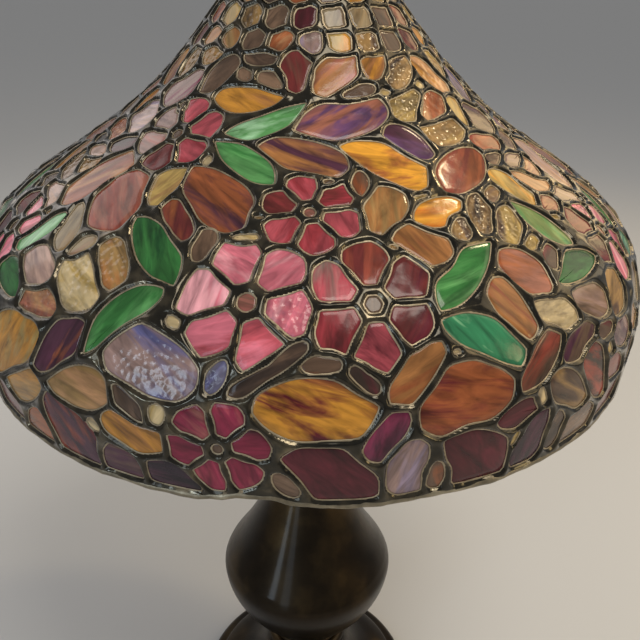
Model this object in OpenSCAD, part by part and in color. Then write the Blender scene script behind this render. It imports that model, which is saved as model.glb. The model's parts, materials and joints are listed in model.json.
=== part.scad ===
// Leaded-glass table lamp: a flared floral shade of copper-foiled stones on a turned bronze urn base.
// Millimetres. Z is up, the table top is Z = 0, and the lamp's axis is the Z axis.
// Azimuth 0 on the shade faces -Y and azimuth 90 faces +X.

/* [Shade] */
// Height of the shade's widest line above the table
widest_z = 410; // [395:1:430]
// Radius of the hole at the top of the shade
top_hole_r = 40; // [38:0.5:42]
// Thickness of the flat glass
glass_t = 3; // [2:0.5:4]
// Width of the solder line between two stones
solder_gap = 3.4; // [2:0.2:5]
// Thickness of the solder shell behind the stones
shell_t = 1.2; // [1:0.2:3]

/* [Base] */
// Radius of the foot
foot_r = 90; // [80:1:100]
// Largest radius of the urn
urn_r = 68; // [60:1:74]
// Height of the urn's widest line above the table
urn_widest_z = 150; // [140:1:160]
// Radius of the threaded rod that holds the lamp together
rod_r = 5; // [4.5:0.1:5.5]

/* [Lights] */
// Diameter of a round bulb
bulb_d = 45; // [40:1:48]
// Tilt of a socket above level
socket_tilt = 5; // [0:1:8]

/* [Hidden] */
$fn = 64;
// Turned profile through the points, with extra points on a smooth curve between them
function curved(line, steps = 3) =
    [for (i = [0 : len(line) - 2], k = [0 : steps - 1])
        let (a = line[max(i - 1, 0)],
             b = line[i],
             c = line[i + 1],
             d = line[min(i + 2, len(line) - 1)],
             t = k / steps)
        0.5 * ((2 * b) + (c - a) * t + (2 * a - 5 * b + 4 * c - d) * pow(t, 2)
               + (3 * b - a - 3 * c + d) * pow(t, 3)),
     line[len(line) - 1]];
sockets = 3;
running_gap = 0.06;    // radial play of a turning or sliding fit
face_gap = 0.3;        // play between faces of parts that move apart

// ---------------------------------------------------------------- wall of the shade
// The wall is a chain of arcs. Each pair is the distance down the wall from the top hole,
// and the wall's slope below level there.
wall_slopes = [[0, 55], [30, 51], [60, 46], [90, 40], [120, 33], [150, 31], [180, 37],
               [210, 62], [240, 86], [270, 99], [290, 101]];
wall_length = 280;
wall_step = 4;
function slope_at(d) = lookup(d, wall_slopes);
wall_walk = [for (d = 0, r = top_hole_r, z = 0; d <= wall_length + wall_step;
                  r = r + wall_step * cos(slope_at(d + wall_step / 2)),
                  z = z - wall_step * sin(slope_at(d + wall_step / 2)),
                  d = d + wall_step) [d, r, z]];
wall_r_of = [for (p = wall_walk) [p[0], p[1]]];
wall_z_of = [for (p = wall_walk) [p[0], p[2]]];
widest_d = 246;
shade_top_z = widest_z - lookup(widest_d, wall_z_of);
function wall_r(d) = lookup(d, wall_r_of);
function wall_z(d) = shade_top_z + lookup(d, wall_z_of);
// Point of the wall's cross-section, moved out by a distance along the wall's normal
function wall_point(d, out) = [wall_r(d) + out * sin(slope_at(d)), wall_z(d) + out * cos(slope_at(d))];
rim_z = wall_z(wall_length);

// ---------------------------------------------------------------- mosaic of the shade
// The pattern covers a third of the shade and is repeated three times.
repeats = 3;
sector = 360 / repeats;
// Distances in the tables below start this far down the wall.
table_start = 50;

// Loose stones: azimuth, distance down the wall, length, width, turn of the long axis
AMBER = [[-21.5, 22, 33, 15, 0], [25.5, 3, 16, 15, 0], [53.5, 37, 24, 13, 80], [18.5, 61, 46, 23, -38],
         [-31, 81, 28, 17, 78], [46.5, 88, 31, 16, -65], [24.5, 92, 28, 15, 22], [-45, 177.5, 52, 26, 32],
         [0.8, 178.5, 50, 27, -5], [-22.2, 198, 29, 16, -15], [52, 11, 25, 14, -60]];
RUSSET = [[8.5, 7, 29, 18, 35], [42.5, 29, 25, 13, 30], [36.5, 70, 43, 22, 22], [-24, 98, 31, 14, -47],
          [-39, 95, 40, 33, -35], [19.5, 111, 34, 17, -45], [28.7, 147.5, 31, 16, -68],
          [13.3, 164.5, 34, 17, 50], [31.3, 171, 30, 16, 35], [43.3, 189, 34, 17, -58],
          [-40, 218, 26, 22, 60], [54, 57, 27, 16, -5]];
DUSK = [[-1, 54, 46, 21, -17], [-18.3, 82, 46, 26, -33], [20.3, 177.5, 44, 30, 15], [-33, 212, 42, 31, -50],
        [2.7, 211, 40, 30, -38], [21.3, 210, 38, 29, -50], [9.5, 33, 47, 22, 8]];
MAUVE = [[-50, 22, 28, 18, 55], [-60.5, 44, 30, 26, 0], [-45, 141, 30, 18, -15], [39.3, 170, 27, 13, 20],
         [12.3, 209, 27, 18, 85], [-20.5, 164.5, 48, 29, -8]];
PLUM = [[26.5, 47.5, 29, 17, -50], [-34.3, 167.5, 37, 18, 50], [9.3, 191, 28, 14, 55],
        [30.5, 211, 30, 18, 70], [-25, 219, 22, 20, 0], [-17, 219, 24, 18, -20], [52, 180.5, 26, 15, -20],
        [58, 198, 26, 16, -20]];
TAN = [[-56.5, 5, 18, 12, 80], [-46.5, -2, 16, 12, 0], [-44, 31, 9, 7, 90], [40.5, 46.5, 30, 16, 5],
       [14.5, 86, 29, 18, 60], [39.5, 88, 15, 9, 25], [57.5, 75, 22, 11, 0], [56, 92, 30, 16, -40],
       [52.5, 105, 19, 13, 20], [-30.5, 127, 29, 16, -55], [-38.3, 123, 16, 10, 60],
       [-44.7, 116, 30, 15, -58], [-59.5, 84, 24, 16, 20], [-51.3, 88, 46, 27, 70],
       [-58.5, 109, 33, 18, -35], [44.5, 156.5, 30, 16, -22], [52.5, 159, 29, 18, 55],
       [-30.3, 183.5, 37, 20, 18], [37, 191, 33, 16, -38], [-42.5, 199, 38, 17, 30],
       [-56, 170, 26, 18, 40], [60, 183.5, 24, 15, -30]];
CORAL = [[34, 132.5, 32, 18, -52], [-40.5, 155.5, 32, 15, 12]];
CREAM = [[26.5, 17, 8, 6, 0], [-24.5, 61, 9, 7, 90], [-10.3, 103.5, 13, 6, 8], [39, 119.5, 12, 7, 20],
         [-17.5, 147.5, 9, 8, 0], [18.8, 159, 6, 5, 0], [-18.6, 185.5, 12, 9, 70], [-28.2, 200, 9, 8, 0],
         [36.5, 154, 27, 14, -22], [31.2, 187.5, 11, 7, -70], [27.5, 206, 9, 6, 60], [42.5, 15, 7, 6, 0],
         [50, 112, 9, 6, 0], [47.3, 182.5, 9, 7, -60]];
GOLD = [[35, 8, 26, 14, 40], [31.5, 27, 24, 15, 35], [22.5, 82, 9, 4, 10], [27, 103.5, 17, 11, 80],
        [13.5, 109, 6, 5, 0], [32.8, 97, 27, 13, 65], [37.3, 107, 26, 14, 42], [-34.5, 142, 31, 23, -40],
        [3.8, 70, 9, 7, 0], [-9, 92, 8, 4, 0], [-11, 164.5, 19, 10, 68], [-52.3, 38, 5, 5, 0],
        [-53.7, 116, 8, 7, 0]];
BROWN = [[-36.5, 10, 24, 15, 70], [-25.5, 8, 11, 7, -35], [-14, 10.5, 14, 9, -25], [-20.5, -3, 16, 8, 0],
         [16.5, 16, 19, 9, 15], [10.8, 70, 18, 10, 75], [-17, 109.5, 20, 11, 85], [40.8, 131.5, 17, 11, 60],
         [50, 68, 17, 9, 5], [-55, 64, 20, 14, 20], [-4.7, 162, 38, 9, 38], [1.8, 160, 18, 10, 10],
         [6.7, 166, 18, 10, -50], [-22.5, 184.5, 24, 11, -48], [-2.2, 215, 17, 10, -50],
         [16.4, 214, 16, 12, 90], [35.3, 210, 21, 12, 90], [46.5, 172, 18, 9, -10], [41, 215, 26, 17, 0],
         [-58, 215, 24, 17, 0]];
RUBY = [[-5, 4, 24, 14, -80], [27.8, 192, 27, 12, 15], [50, 196, 24, 14, -25], [-48.5, 216, 28, 19, 10],
        [50.5, 215, 26, 17, 0], [-55, 193, 24, 16, 25]];
// Leaves: azimuth, distance down the wall, length, width, turn, and how far the middle bows sideways
LEAVES = [[-13.5, 33, 44, 15, 30, -4], [-15.3, 61, 44, 17, -33, 2], [23.4, 129, 52, 18, 36, 3],
          [23.3, 158, 53, 19, -32, 2], [-25.1, 116.5, 52, 20, -40, 2], [-24.5, 150, 49, 17, 47, 5],
          [45.5, 113, 41, 16, -64, -2], [45, 141, 44, 16, 3, 4], [-52, 126, 45, 16, 55, -4],
          [-51.5, 153, 43, 17, -14, 3]];
// Flowers of six petals round a small square stone:
// azimuth, distance down the wall, radius, turn of the first petal, and the sheet of each petal
FLOWERS = [
    [-8.3, 135.5, 30, 51, ["rose", "rose", "rose", "rose", "rose", "rose"]],
    [8.6, 136, 29, 30, ["ruby", "ruby", "scarlet", "scarlet", "scarlet", "ruby"]],
    [0, 88, 23, 40, ["scarlet", "scarlet", "ruby", "scarlet", "scarlet", "scarlet"]],
    [-38, 48, 24, 30, ["scarlet", "scarlet", "plum", "mauve", "ruby", "scarlet"]],
    [-10.8, 198, 22, 13, ["magenta", "magenta", "magenta", "magenta", "magenta", "magenta"]],
    [60, 133, 26, 20, ["rose", "rose", "ruby", "ruby", "rose", "rose"]]];
// Rows above the pattern: distance down the wall, stones in a third of the row, length, width
TOP_ROWS = [[-13, 9, 13, 11], [-27, 8, 13, 12], [-41, 7, 12, 11]];
TOP_SHEETS = ["tan", "brown", "amber", "russet", "tan", "ruby", "gold", "mauve", "brown"];

// Every stone of the sector: sheet, azimuth, distance down the wall, half length, half width, turn,
// how square its outline is (0 for a leaf), and bow
leaf = 0;
loose_power = 4;
petal_power = 2.8;
// Petal: half length, half width and distance of its centre, as shares of the flower's radius
petal_size = [0.37, 0.43, 0.64];
// Half width of the small stone in a flower's middle, as a share of the flower's radius
eye_size = 0.16;
function loose(sheet, rows) = [for (p = rows)
    [sheet, p[0], p[1] + table_start, p[2] / 2, p[3] / 2, p[4], loose_power, 0]];
function leaves() = [for (p = LEAVES)
    ["green", p[0], p[1] + table_start, p[2] / 2, p[3] / 2, p[4], leaf, p[5]]];
function petals() = [for (f = FLOWERS, k = [0 : 5])
    let (turn = f[3] + 60 * k,
         d = f[1] + table_start,
         reach = f[2] * petal_size[2],
         across = reach * cos(turn) / wall_r(d - reach * sin(turn) / 2) * 180 / PI)
    [f[4][k], f[0] + across, d - reach * sin(turn), f[2] * petal_size[0], f[2] * petal_size[1],
     turn, petal_power, 0]];
function flower_eyes() = [for (f = FLOWERS)
    ["brown", f[0], f[1] + table_start, eye_size * f[2], eye_size * f[2], 45, loose_power, 0]];
function top_rows() = [for (i = [0 : len(TOP_ROWS) - 1], k = [0 : TOP_ROWS[i][1] - 1])
    let (row = TOP_ROWS[i])
    [TOP_SHEETS[(2 * i + 4 * k) % 9], (k + 0.5 + i * 0.3) * sector / row[1] - sector / 2,
     row[0] + table_start, row[2] / 2, row[3] / 2, 15 * ((k + i) % 3) + 70, loose_power, 0]];
STONES = concat(loose("amber", AMBER), loose("russet", RUSSET), loose("dusk", DUSK),
                loose("mauve", MAUVE), loose("plum", PLUM), loose("tan", TAN), loose("coral", CORAL),
                loose("cream", CREAM), loose("gold", GOLD), loose("brown", BROWN), loose("ruby", RUBY),
                leaves(), petals(), flower_eyes(), top_rows());

// Shortest turn from one azimuth to another, the pattern being repeated
function across_sector(a) = a - sector * round(a / sector);
// Centre of stone q seen from stone p, in millimetres along the wall: right and up
function seen_from(p, q) = [across_sector(q[1] - p[1]) * PI / 180 * wall_r((p[2] + q[2]) / 2), p[2] - q[2]];
function turned(v, a) = [v[0] * cos(a) - v[1] * sin(a), v[0] * sin(a) + v[1] * cos(a)];
// A bowed stone's middle lies to the side of the line through its ends
function bow_at(p, x) = p[7] * (1 - pow(x / p[3], 2));
// How many times its own size a stone would grow to reach a point, given from its centre
function growth_to(p, v) =
    let (w = turned(v, -p[5]))
    norm([w[0] / p[3], (w[1] - bow_at(p, w[0])) / p[4]]);
// How far a stone's own outline reaches along a direction of its own frame
function own_reach(p, dir) =
    let (x = abs(dir[0]) / p[3], y = abs(dir[1]) / p[4])
    p[6] > 0 ? stone_growth / pow(pow(x, p[6]) + pow(y, p[6]), 1 / p[6]) :
    x < 0.001 ? 1 / y : (sqrt(y * y + 4 * x * x) - y) / (2 * x * x);
// Point at distance r along a direction of the stone's own frame, seen from the stone's centre
function point_along(p, dir, r) = turned([dir[0] * r, dir[1] * r + bow_at(p, dir[0] * r)], p[5]);
// Farthest distance along a direction at which no neighbour is closer, found by halving
function free_reach(p, near, dir, low, high, halvings) =
    let (r = (low + high) / 2,
         at = point_along(p, dir, r),
         own = r * norm([dir[0] / p[3], dir[1] / p[4]]),
         free = min([for (n = near) growth_to(n[0], at - n[1])]) > own)
    halvings == 0 ? low :
    free ? free_reach(p, near, dir, r, high, halvings - 1) :
    free_reach(p, near, dir, low, r, halvings - 1);
outline_points = 12;
stone_growth = 1.2;
neighbourhood = 58;
lowest_d = wall_length - 6;
highest_d = 4;
// Outline of a stone: its own shape, cut back to half a solder line from every neighbour
function outline(p) =
    let (near = [for (q = STONES) let (c = seen_from(p, q))
                 if (norm(c) > 0.01 && norm(c) < neighbourhood) [q, c]])
    [for (k = [0 : outline_points - 1])
        let (t = (k + (p[6] == leaf ? 0 : 0.5)) * 360 / outline_points,
             along = [p[3] * cos(t), p[4] * sin(t)],
             dir = along / norm(along),
             own = own_reach(p, dir),
             met = free_reach(p, near, dir, 0, own + solder_gap / 2, 8) - solder_gap / 2,
             at = point_along(p, dir, max(1, min(own, met))))
        [at[0], min(max(at[1], p[2] - lowest_d), p[2] - highest_d)]];

// ---------------------------------------------------------------- modules of the shade
// One flat stone, laid on the wall just outside the solder shell
stone_lift = shell_t / 2 + 0.9;
module stone(p) {
    rotate([0, 0, p[1]])
        translate([0, -wall_r(p[2]), wall_z(p[2])])
        rotate([slope_at(p[2]), 0, 0])
        translate([0, 0, stone_lift])
        linear_extrude(glass_t)
        polygon(outline(p));
}
module sheet(name) {
    for (turn = [0 : repeats - 1])
        rotate([0, 0, turn * sector])
        for (p = STONES)
            if (p[0] == name)
                stone(p);
}
shell_line = [for (d = [0 : wall_step : wall_length]) d];
module solder_shell() {
    color("dimgray")
        rotate_extrude($fn = 96)
        polygon(concat([for (d = shell_line) wall_point(d, shell_t / 2)],
                       [for (i = [len(shell_line) - 1 : -1 : 0]) wall_point(shell_line[i], -shell_t / 2)]));
}
// Bead along the lower edge
rim_bead_r = 2.4;
module rim_bead() {
    color("tan")
        rotate_extrude($fn = 96)
        translate([wall_r(wall_length), rim_z - rim_bead_r])
        circle(r = rim_bead_r, $fn = 24);
}
// Brass ring round the top hole, seated inside the shell's upper edge
ring_t = 2;
ring_h = 7;
ring_r = top_hole_r - 0.45;
module aperture_ring() {
    color("goldenrod")
        translate([0, 0, shade_top_z - ring_h + 2])
        difference() {
            cylinder(r = ring_r, h = ring_h);
            translate([0, 0, -1])
                cylinder(r = ring_r - ring_t, h = ring_h + 2);
        }
}
// Three-armed spider inside the ring; its hub drops over the rod
spider_z = shade_top_z - 3;
spider_t = 2.5;
hub_r = 12;
module spider() {
    color("goldenrod")
        difference() {
            union() {
                translate([0, 0, spider_z])
                    cylinder(r = hub_r, h = 5);
                for (turn = [0 : 120 : 240])
                    rotate([0, 0, turn + 30])
                    translate([0, -4, spider_z])
                    cube([ring_r - ring_t, 8, spider_t]);
            }
            translate([0, 0, spider_z - 1])
                cylinder(r = rod_r + running_gap, h = 8);
        }
}
// Domed, vented cap over the top hole
cap_r = 50;
cap_z = spider_z + 5;
cap_h = 17;
cap_t = 1.6;
cap_line = [[cap_r, 0], [cap_r, 2.5], [47, 5], [41, 8.5], [33, 12], [24, 14.8], [14, 16.4], [10, cap_h]];
module heat_cap() {
    vents = 8;
    color("saddlebrown")
        translate([0, 0, cap_z])
        difference() {
            union() {
                rotate_extrude()
                    polygon(concat(curved(cap_line), [[rod_r + running_gap, cap_h], [rod_r + running_gap, cap_h - 3],
                                              [10, cap_h - 3]],
                                   [for (i = [6 : -1 : 1]) [cap_line[i][0] - cap_t, cap_line[i][1] - cap_t]],
                                   [[cap_r - cap_t, 0]]));
                // Sleeve that stands on the spider's hub
                difference() {
                    cylinder(r = 8, h = cap_h - 1);
                    translate([0, 0, -1])
                        cylinder(r = rod_r + running_gap, h = cap_h + 2);
                }
            }
            for (k = [0 : vents - 1])
                rotate([0, 0, (k + 0.5) * 360 / vents])
                translate([30, 0, 0])
                cylinder(r = 2.5, h = cap_h + 2, $fn = 24);
        }
}
// Turned finial with a blind bore for the rod's end
finial_z = cap_z + cap_h + face_gap;
finial_line = [[11, 0], [11, 3], [8, 5], [6.8, 8], [8, 11], [11, 14], [12.6, 18], [12, 22.5],
               [9, 27], [5, 30], [3.4, 32], [4, 34.5], [2.6, 37], [0, 38]];
rod_top_z = finial_z + 15;
module finial() {
    color("saddlebrown")
        translate([0, 0, finial_z])
        difference() {
            rotate_extrude()
                polygon(concat([[0, 0]], curved(finial_line)));
            translate([0, 0, -1])
                cylinder(r = rod_r + running_gap, h = rod_top_z - finial_z + 2);
        }
}

// ---------------------------------------------------------------- base
pad_t = 2;
foot_h = 58;
foot_line = [[foot_r - 2, 0], [foot_r, 2], [foot_r, 6], [foot_r - 3, 9], [foot_r - 9, 11], [foot_r - 11, 14],
             [72, 18], [60, 23], [49, 30], [41, 38], [36, 46], [33.5, 53], [33, foot_h]];
module felt_pad() {
    color("darkgreen")
        difference() {
            cylinder(r = foot_r - 3, h = pad_t);
            translate([0, 0, -1])
                cylinder(r = 20, h = pad_t + 2);
        }
}
// The foot is cast hollow, with a boss round the rod that the ballast is clamped against
foot_wall = 5;
boss_r = 10;
module foot() {
    inner = [for (i = [len(foot_line) - 1 : -1 : 0])
             [foot_line[i][0] - foot_wall, min(foot_line[i][1], foot_h - foot_wall)]];
    color("darkgoldenrod")
        translate([0, 0, pad_t])
        difference() {
            rotate_extrude()
                polygon(concat(curved(foot_line), [[rod_r + running_gap, foot_h], [rod_r + running_gap, boss_z],
                                           [boss_r, boss_z], [boss_r, foot_h - foot_wall]], inner));
            // Way out for the cord at the back
            translate([0, foot_r - 30, 10 - pad_t])
                rotate([-90, 0, 0])
                cylinder(r = cord_hole_r, h = 40, $fn = 32);
        }
}
// Iron weight held against the boss by the nut
nut_h = 4;
ballast_z = pad_t + nut_h;
ballast_h = 11;
boss_z = nut_h + ballast_h;
module ballast() {
    color("gray")
        translate([0, 0, ballast_z])
        difference() {
            cylinder(r = 66, h = ballast_h);
            translate([0, 0, -1])
                cylinder(r = rod_r + running_gap, h = ballast_h + 2);
        }
}
module foot_nut() {
    color("silver")
        translate([0, 0, ballast_z - nut_h])
        difference() {
            cylinder(r = 9, h = nut_h, $fn = 6);
            translate([0, 0, -1])
                cylinder(r = rod_r, h = nut_h + 2);
        }
}
// Insulating bushing in the foot's cord hole
cord_hole_r = 4;
bushing_bore_r = 3;
module cord_bushing() {
    color("black")
        translate([0, foot_r - 8.4, 10])
        rotate([-90, 0, 0])
        difference() {
            union() {
                cylinder(r = cord_hole_r, h = 9, $fn = 32);
                translate([0, 0, 9])
                    cylinder(r = 6, h = 2, $fn = 32);
            }
            translate([0, 0, -1])
                cylinder(r = bushing_bore_r, h = 14, $fn = 32);
        }
}
// Turned ring between foot and urn
knop_z = pad_t + foot_h;
knop_h = 12;
knop_line = [[27, 0], [31, 1], [33.5, 3.5], [34, 6], [33.5, 8.5], [31, 11], [27, knop_h]];
module waist_knop() {
    color("peru")
        translate([0, 0, knop_z])
        rotate_extrude()
        polygon(concat(curved(knop_line), [[rod_r + running_gap, knop_h], [rod_r + running_gap, 0]]));
}
// Urn: a short cup, a full belly and a shoulder that draws in to the neck
urn_z = knop_z + knop_h;
urn_wall = 2.5;
urn_line = [[28, urn_z], [30, urn_z + 3], [29, urn_z + 6], [34, urn_z + 13], [43, urn_z + 24],
            [53, urn_z + 38], [61, urn_z + 52], [66, urn_z + 65], [urn_r, urn_widest_z],
            [urn_r - 2.5, urn_widest_z + 8], [urn_r - 6.5, urn_widest_z + 15],
            [urn_r - 15.5, urn_widest_z + 29], [urn_r - 26.5, urn_widest_z + 49],
            [urn_r - 36.5, urn_widest_z + 69], [urn_r - 42.5, urn_widest_z + 83],
            [urn_r - 45, urn_widest_z + 95]];
urn_top_z = urn_widest_z + 95;
module urn_body() {
    last = len(urn_line) - 1;
    color("darkgoldenrod")
        rotate_extrude()
        polygon(concat(curved(urn_line), [[rod_r + running_gap, urn_top_z], [rod_r + running_gap, urn_top_z - 4]],
                       [for (i = [last - 1 : -1 : 3]) [urn_line[i][0] - urn_wall, urn_line[i][1] - 1]],
                       [[24, urn_z + 4], [rod_r + running_gap, urn_z + 4], [rod_r + running_gap, urn_z]]));
}
collar_line = [[20, 0], [25, 1.5], [26, 4], [25, 6.5], [20, 8], [15, 9.5], [13, 12]];
collar_h = 12;
module neck_collar() {
    color("peru")
        translate([0, 0, urn_top_z])
        rotate_extrude()
        polygon(concat(curved(collar_line), [[rod_r + running_gap, collar_h], [rod_r + running_gap, 0]]));
}
stem_r = 9;
stem_z = urn_top_z + collar_h;
cluster_z = widest_z + 22;
module stem() {
    color("darkgoldenrod")
        translate([0, 0, stem_z])
        difference() {
            cylinder(r = stem_r, h = cluster_z - 5 - stem_z);
            translate([0, 0, -1])
                cylinder(r = stem_r - 2, h = cluster_z - stem_z);
        }
}
module check_ring() {
    color("peru")
        translate([0, 0, cluster_z - 5])
        difference() {
            cylinder(r = 16, h = 5);
            translate([0, 0, -1])
                cylinder(r = rod_r + running_gap, h = 7);
        }
}
// Hollow threaded rod from the foot's nut to the finial
rod_bore_r = 3.2;
module threaded_rod() {
    color("silver")
        translate([0, 0, pad_t + 0.5])
        difference() {
            cylinder(r = rod_r, h = rod_top_z - pad_t - 0.5);
            translate([0, 0, -1])
                cylinder(r = rod_bore_r, h = rod_top_z);
        }
}
// Nut on the rod that carries the shade's spider
module seat_nut() {
    color("silver")
        translate([0, 0, spider_z - face_gap - 6])
        difference() {
            cylinder(r = 9, h = 6, $fn = 6);
            translate([0, 0, -1])
                cylinder(r = rod_r, h = 8);
        }
}

// ---------------------------------------------------------------- lights
cluster_r = 20;
cluster_h = 30;
arm_z = cluster_z + cluster_h / 2;
arm_r = 6;
// A light's frame: X runs out along the socket
module along_socket(k) {
    rotate([0, 0, 30 + k * 360 / sockets])
        translate([0, 0, arm_z])
        rotate([0, -socket_tilt, 0])
        children();
}
module cluster_body() {
    color("darkgoldenrod")
        difference() {
            union() {
                translate([0, 0, cluster_z])
                    cylinder(r = cluster_r, h = cluster_h);
                for (k = [0 : sockets - 1])
                    along_socket(k)
                    rotate([0, 90, 0])
                    cylinder(r = arm_r, h = socket_start);
            }
            translate([0, 0, cluster_z - 1])
                cylinder(r = rod_r + running_gap, h = cluster_h + 2);
        }
}
cluster_cap_line = [[cluster_r + 2, 0], [cluster_r + 2, 2], [17, 6], [11, 9], [8, 12]];
module cluster_cap() {
    color("peru")
        translate([0, 0, cluster_z + cluster_h])
        rotate_extrude()
        polygon(concat(cluster_cap_line, [[rod_r + running_gap, 12], [rod_r + running_gap, 0]]));
}
socket_start = 22;
socket_cap_h = 10;
socket_r = 16;
socket_h = 36;
module socket_cap(k) {
    color("goldenrod")
        along_socket(k)
        translate([socket_start, 0, 0])
        rotate([0, 90, 0])
        cylinder(r1 = 9, r2 = socket_r, h = socket_cap_h);
}
shell_start = socket_start + socket_cap_h;
bulb_neck_r = 12.5;
socket_depth = 24;
spout_along = 12;
module socket_shell(k) {
    color("goldenrod")
        along_socket(k)
        difference() {
            translate([shell_start, 0, 0])
                rotate([0, 90, 0])
                cylinder(r = socket_r, h = socket_h);
            translate([shell_start + socket_h - socket_depth, 0, 0])
                rotate([0, 90, 0])
                cylinder(r = bulb_neck_r + 1, h = socket_depth + 1);
        }
}
// Switch spout that the chain comes out of
spout_len = 12;
chain_start = 2;
spout_bore_r = 1.7;
chain_r = 1.2;
chain_x = (shell_start + spout_along) * cos(socket_tilt);
chain_z = arm_z + chain_x * tan(socket_tilt) - socket_r / cos(socket_tilt);
module at_chain(k) {
    rotate([0, 0, 30 + k * 360 / sockets])
        translate([chain_x, 0, chain_z])
        children();
}
module switch_spout(k) {
    color("goldenrod")
        difference() {
            at_chain(k)
                translate([0, 0, -spout_len])
                cylinder(r = 3.2, h = spout_len + 4, $fn = 32);
            at_chain(k)
                translate([0, 0, -spout_len - 1])
                cylinder(r = spout_bore_r, h = spout_len + 1, $fn = 32);
            along_socket(k)
                translate([shell_start - 1, 0, 0])
                rotate([0, 90, 0])
                cylinder(r = socket_r, h = socket_h + 2);
        }
}
// Ball chain: beads on a wire
bead_pitch = 3;
chain_beads = 10;
module pull_chain(k) {
    color("silver")
        at_chain(k)
        translate([0, 0, -chain_start]) {
            for (i = [0 : chain_beads - 1])
                translate([0, 0, -i * bead_pitch])
                sphere(r = chain_r, $fn = 16);
            translate([0, 0, -(chain_beads - 1) * bead_pitch])
                cylinder(r = 0.5, h = (chain_beads - 1) * bead_pitch, $fn = 16);
        }
}
bell_line = [[3.6, 0], [3.8, 1.5], [2.6, 5], [1.6, 8], [0, 8.5]];
bell_grip = 0.2;
module pull_bell(k) {
    bell_h = bell_line[len(bell_line) - 1][1];
    color("peru")
        at_chain(k)
        translate([0, 0, bell_grip - chain_start - (chain_beads - 1) * bead_pitch - chain_r - bell_h])
        rotate_extrude($fn = 32)
        polygon(concat([[0, 0]], curved(bell_line)));
}
// Round bulb on a screw base that sits in the socket
module bulb(k) {
    neck_start = shell_start + socket_h - socket_depth + 2;
    color("ivory")
        along_socket(k)
        rotate([0, 90, 0])
        union() {
            translate([0, 0, neck_start])
                cylinder(r = bulb_neck_r, h = socket_depth + 6);
            translate([0, 0, neck_start + socket_depth + bulb_d / 2])
                sphere(d = bulb_d, $fn = 48);
        }
}

felt_pad();
foot();
ballast();
foot_nut();
cord_bushing();
waist_knop();
urn_body();
neck_collar();
stem();
check_ring();
threaded_rod();
seat_nut();
cluster_body();
cluster_cap();
socket_cap(0);  // socket_cap_1
socket_cap(1);  // socket_cap_2
socket_cap(2);  // socket_cap_3
socket_shell(0);  // socket_shell_1
socket_shell(1);  // socket_shell_2
socket_shell(2);  // socket_shell_3
switch_spout(0);  // switch_spout_1
switch_spout(1);  // switch_spout_2
switch_spout(2);  // switch_spout_3
bulb(0);  // bulb_1
bulb(1);  // bulb_2
bulb(2);  // bulb_3
pull_chain(0);  // pull_chain_1
pull_chain(1);  // pull_chain_2
pull_chain(2);  // pull_chain_3
pull_bell(0);  // pull_bell_1
pull_bell(1);  // pull_bell_2
pull_bell(2);  // pull_bell_3
spider();
aperture_ring();
solder_shell();
rim_bead();
heat_cap();
finial();
color("deeppink") sheet("rose");  // glass_rose
color("darkred") sheet("ruby");  // glass_ruby
color("crimson") sheet("scarlet");  // glass_scarlet
color("mediumvioletred") sheet("magenta");  // glass_magenta
color("seagreen") sheet("green");  // glass_green
color("orange") sheet("amber");  // glass_amber
color("orangered") sheet("russet");  // glass_russet
color("brown") sheet("dusk");  // glass_dusk
color("plum") sheet("mauve");  // glass_mauve
color("purple") sheet("plum");  // glass_plum
color("tan") sheet("tan");  // glass_tan
color("coral") sheet("coral");  // glass_coral
color("cornsilk") sheet("cream");  // glass_cream
color("gold") sheet("gold");  // glass_gold
color("saddlebrown") sheet("brown");  // glass_brown
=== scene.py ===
"""Leaded-glass table lamp: foiled and soldered glass stones on a flared shade, over a dark bronze urn base.

Metres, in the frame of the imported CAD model. The stones' places and outlines come from the CAD's glass
nodes; this script rounds them, gives each a rippled face, and runs raised solder between them.
"""
import json
import math

import bpy
import numpy as np
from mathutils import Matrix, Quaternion, Vector


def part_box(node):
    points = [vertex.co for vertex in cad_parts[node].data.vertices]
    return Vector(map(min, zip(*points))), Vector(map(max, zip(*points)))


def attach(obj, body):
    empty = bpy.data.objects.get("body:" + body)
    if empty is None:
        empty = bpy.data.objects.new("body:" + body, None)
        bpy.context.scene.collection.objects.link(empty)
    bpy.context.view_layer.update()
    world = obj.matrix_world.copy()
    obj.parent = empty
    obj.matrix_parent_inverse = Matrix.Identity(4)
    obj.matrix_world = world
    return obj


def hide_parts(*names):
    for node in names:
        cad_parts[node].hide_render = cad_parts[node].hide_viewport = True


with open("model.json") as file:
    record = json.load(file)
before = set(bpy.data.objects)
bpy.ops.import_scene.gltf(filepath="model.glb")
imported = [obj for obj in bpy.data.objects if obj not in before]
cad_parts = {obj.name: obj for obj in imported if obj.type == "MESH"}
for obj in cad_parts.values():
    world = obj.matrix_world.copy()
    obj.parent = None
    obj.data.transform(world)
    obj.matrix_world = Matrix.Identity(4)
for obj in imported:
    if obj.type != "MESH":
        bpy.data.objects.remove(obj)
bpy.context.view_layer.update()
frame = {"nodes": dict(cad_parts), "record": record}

MM = 0.001
rng = np.random.default_rng(11)

# ---------------------------------------------------------------- wall of the shade
# The shade's wall in millimetres, as in the CAD: distance down the wall, and slope below level there.
WALL_SLOPES = ((0, 55), (30, 51), (60, 46), (90, 40), (120, 33), (150, 31), (180, 37),
               (210, 62), (240, 86), (270, 99), (290, 101))
WALL_END = 284.0
SHELL_HALF = 0.6
# The pattern's distances, here and in the CAD, start this far down the wall
PATTERN_START = 50.0


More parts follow.
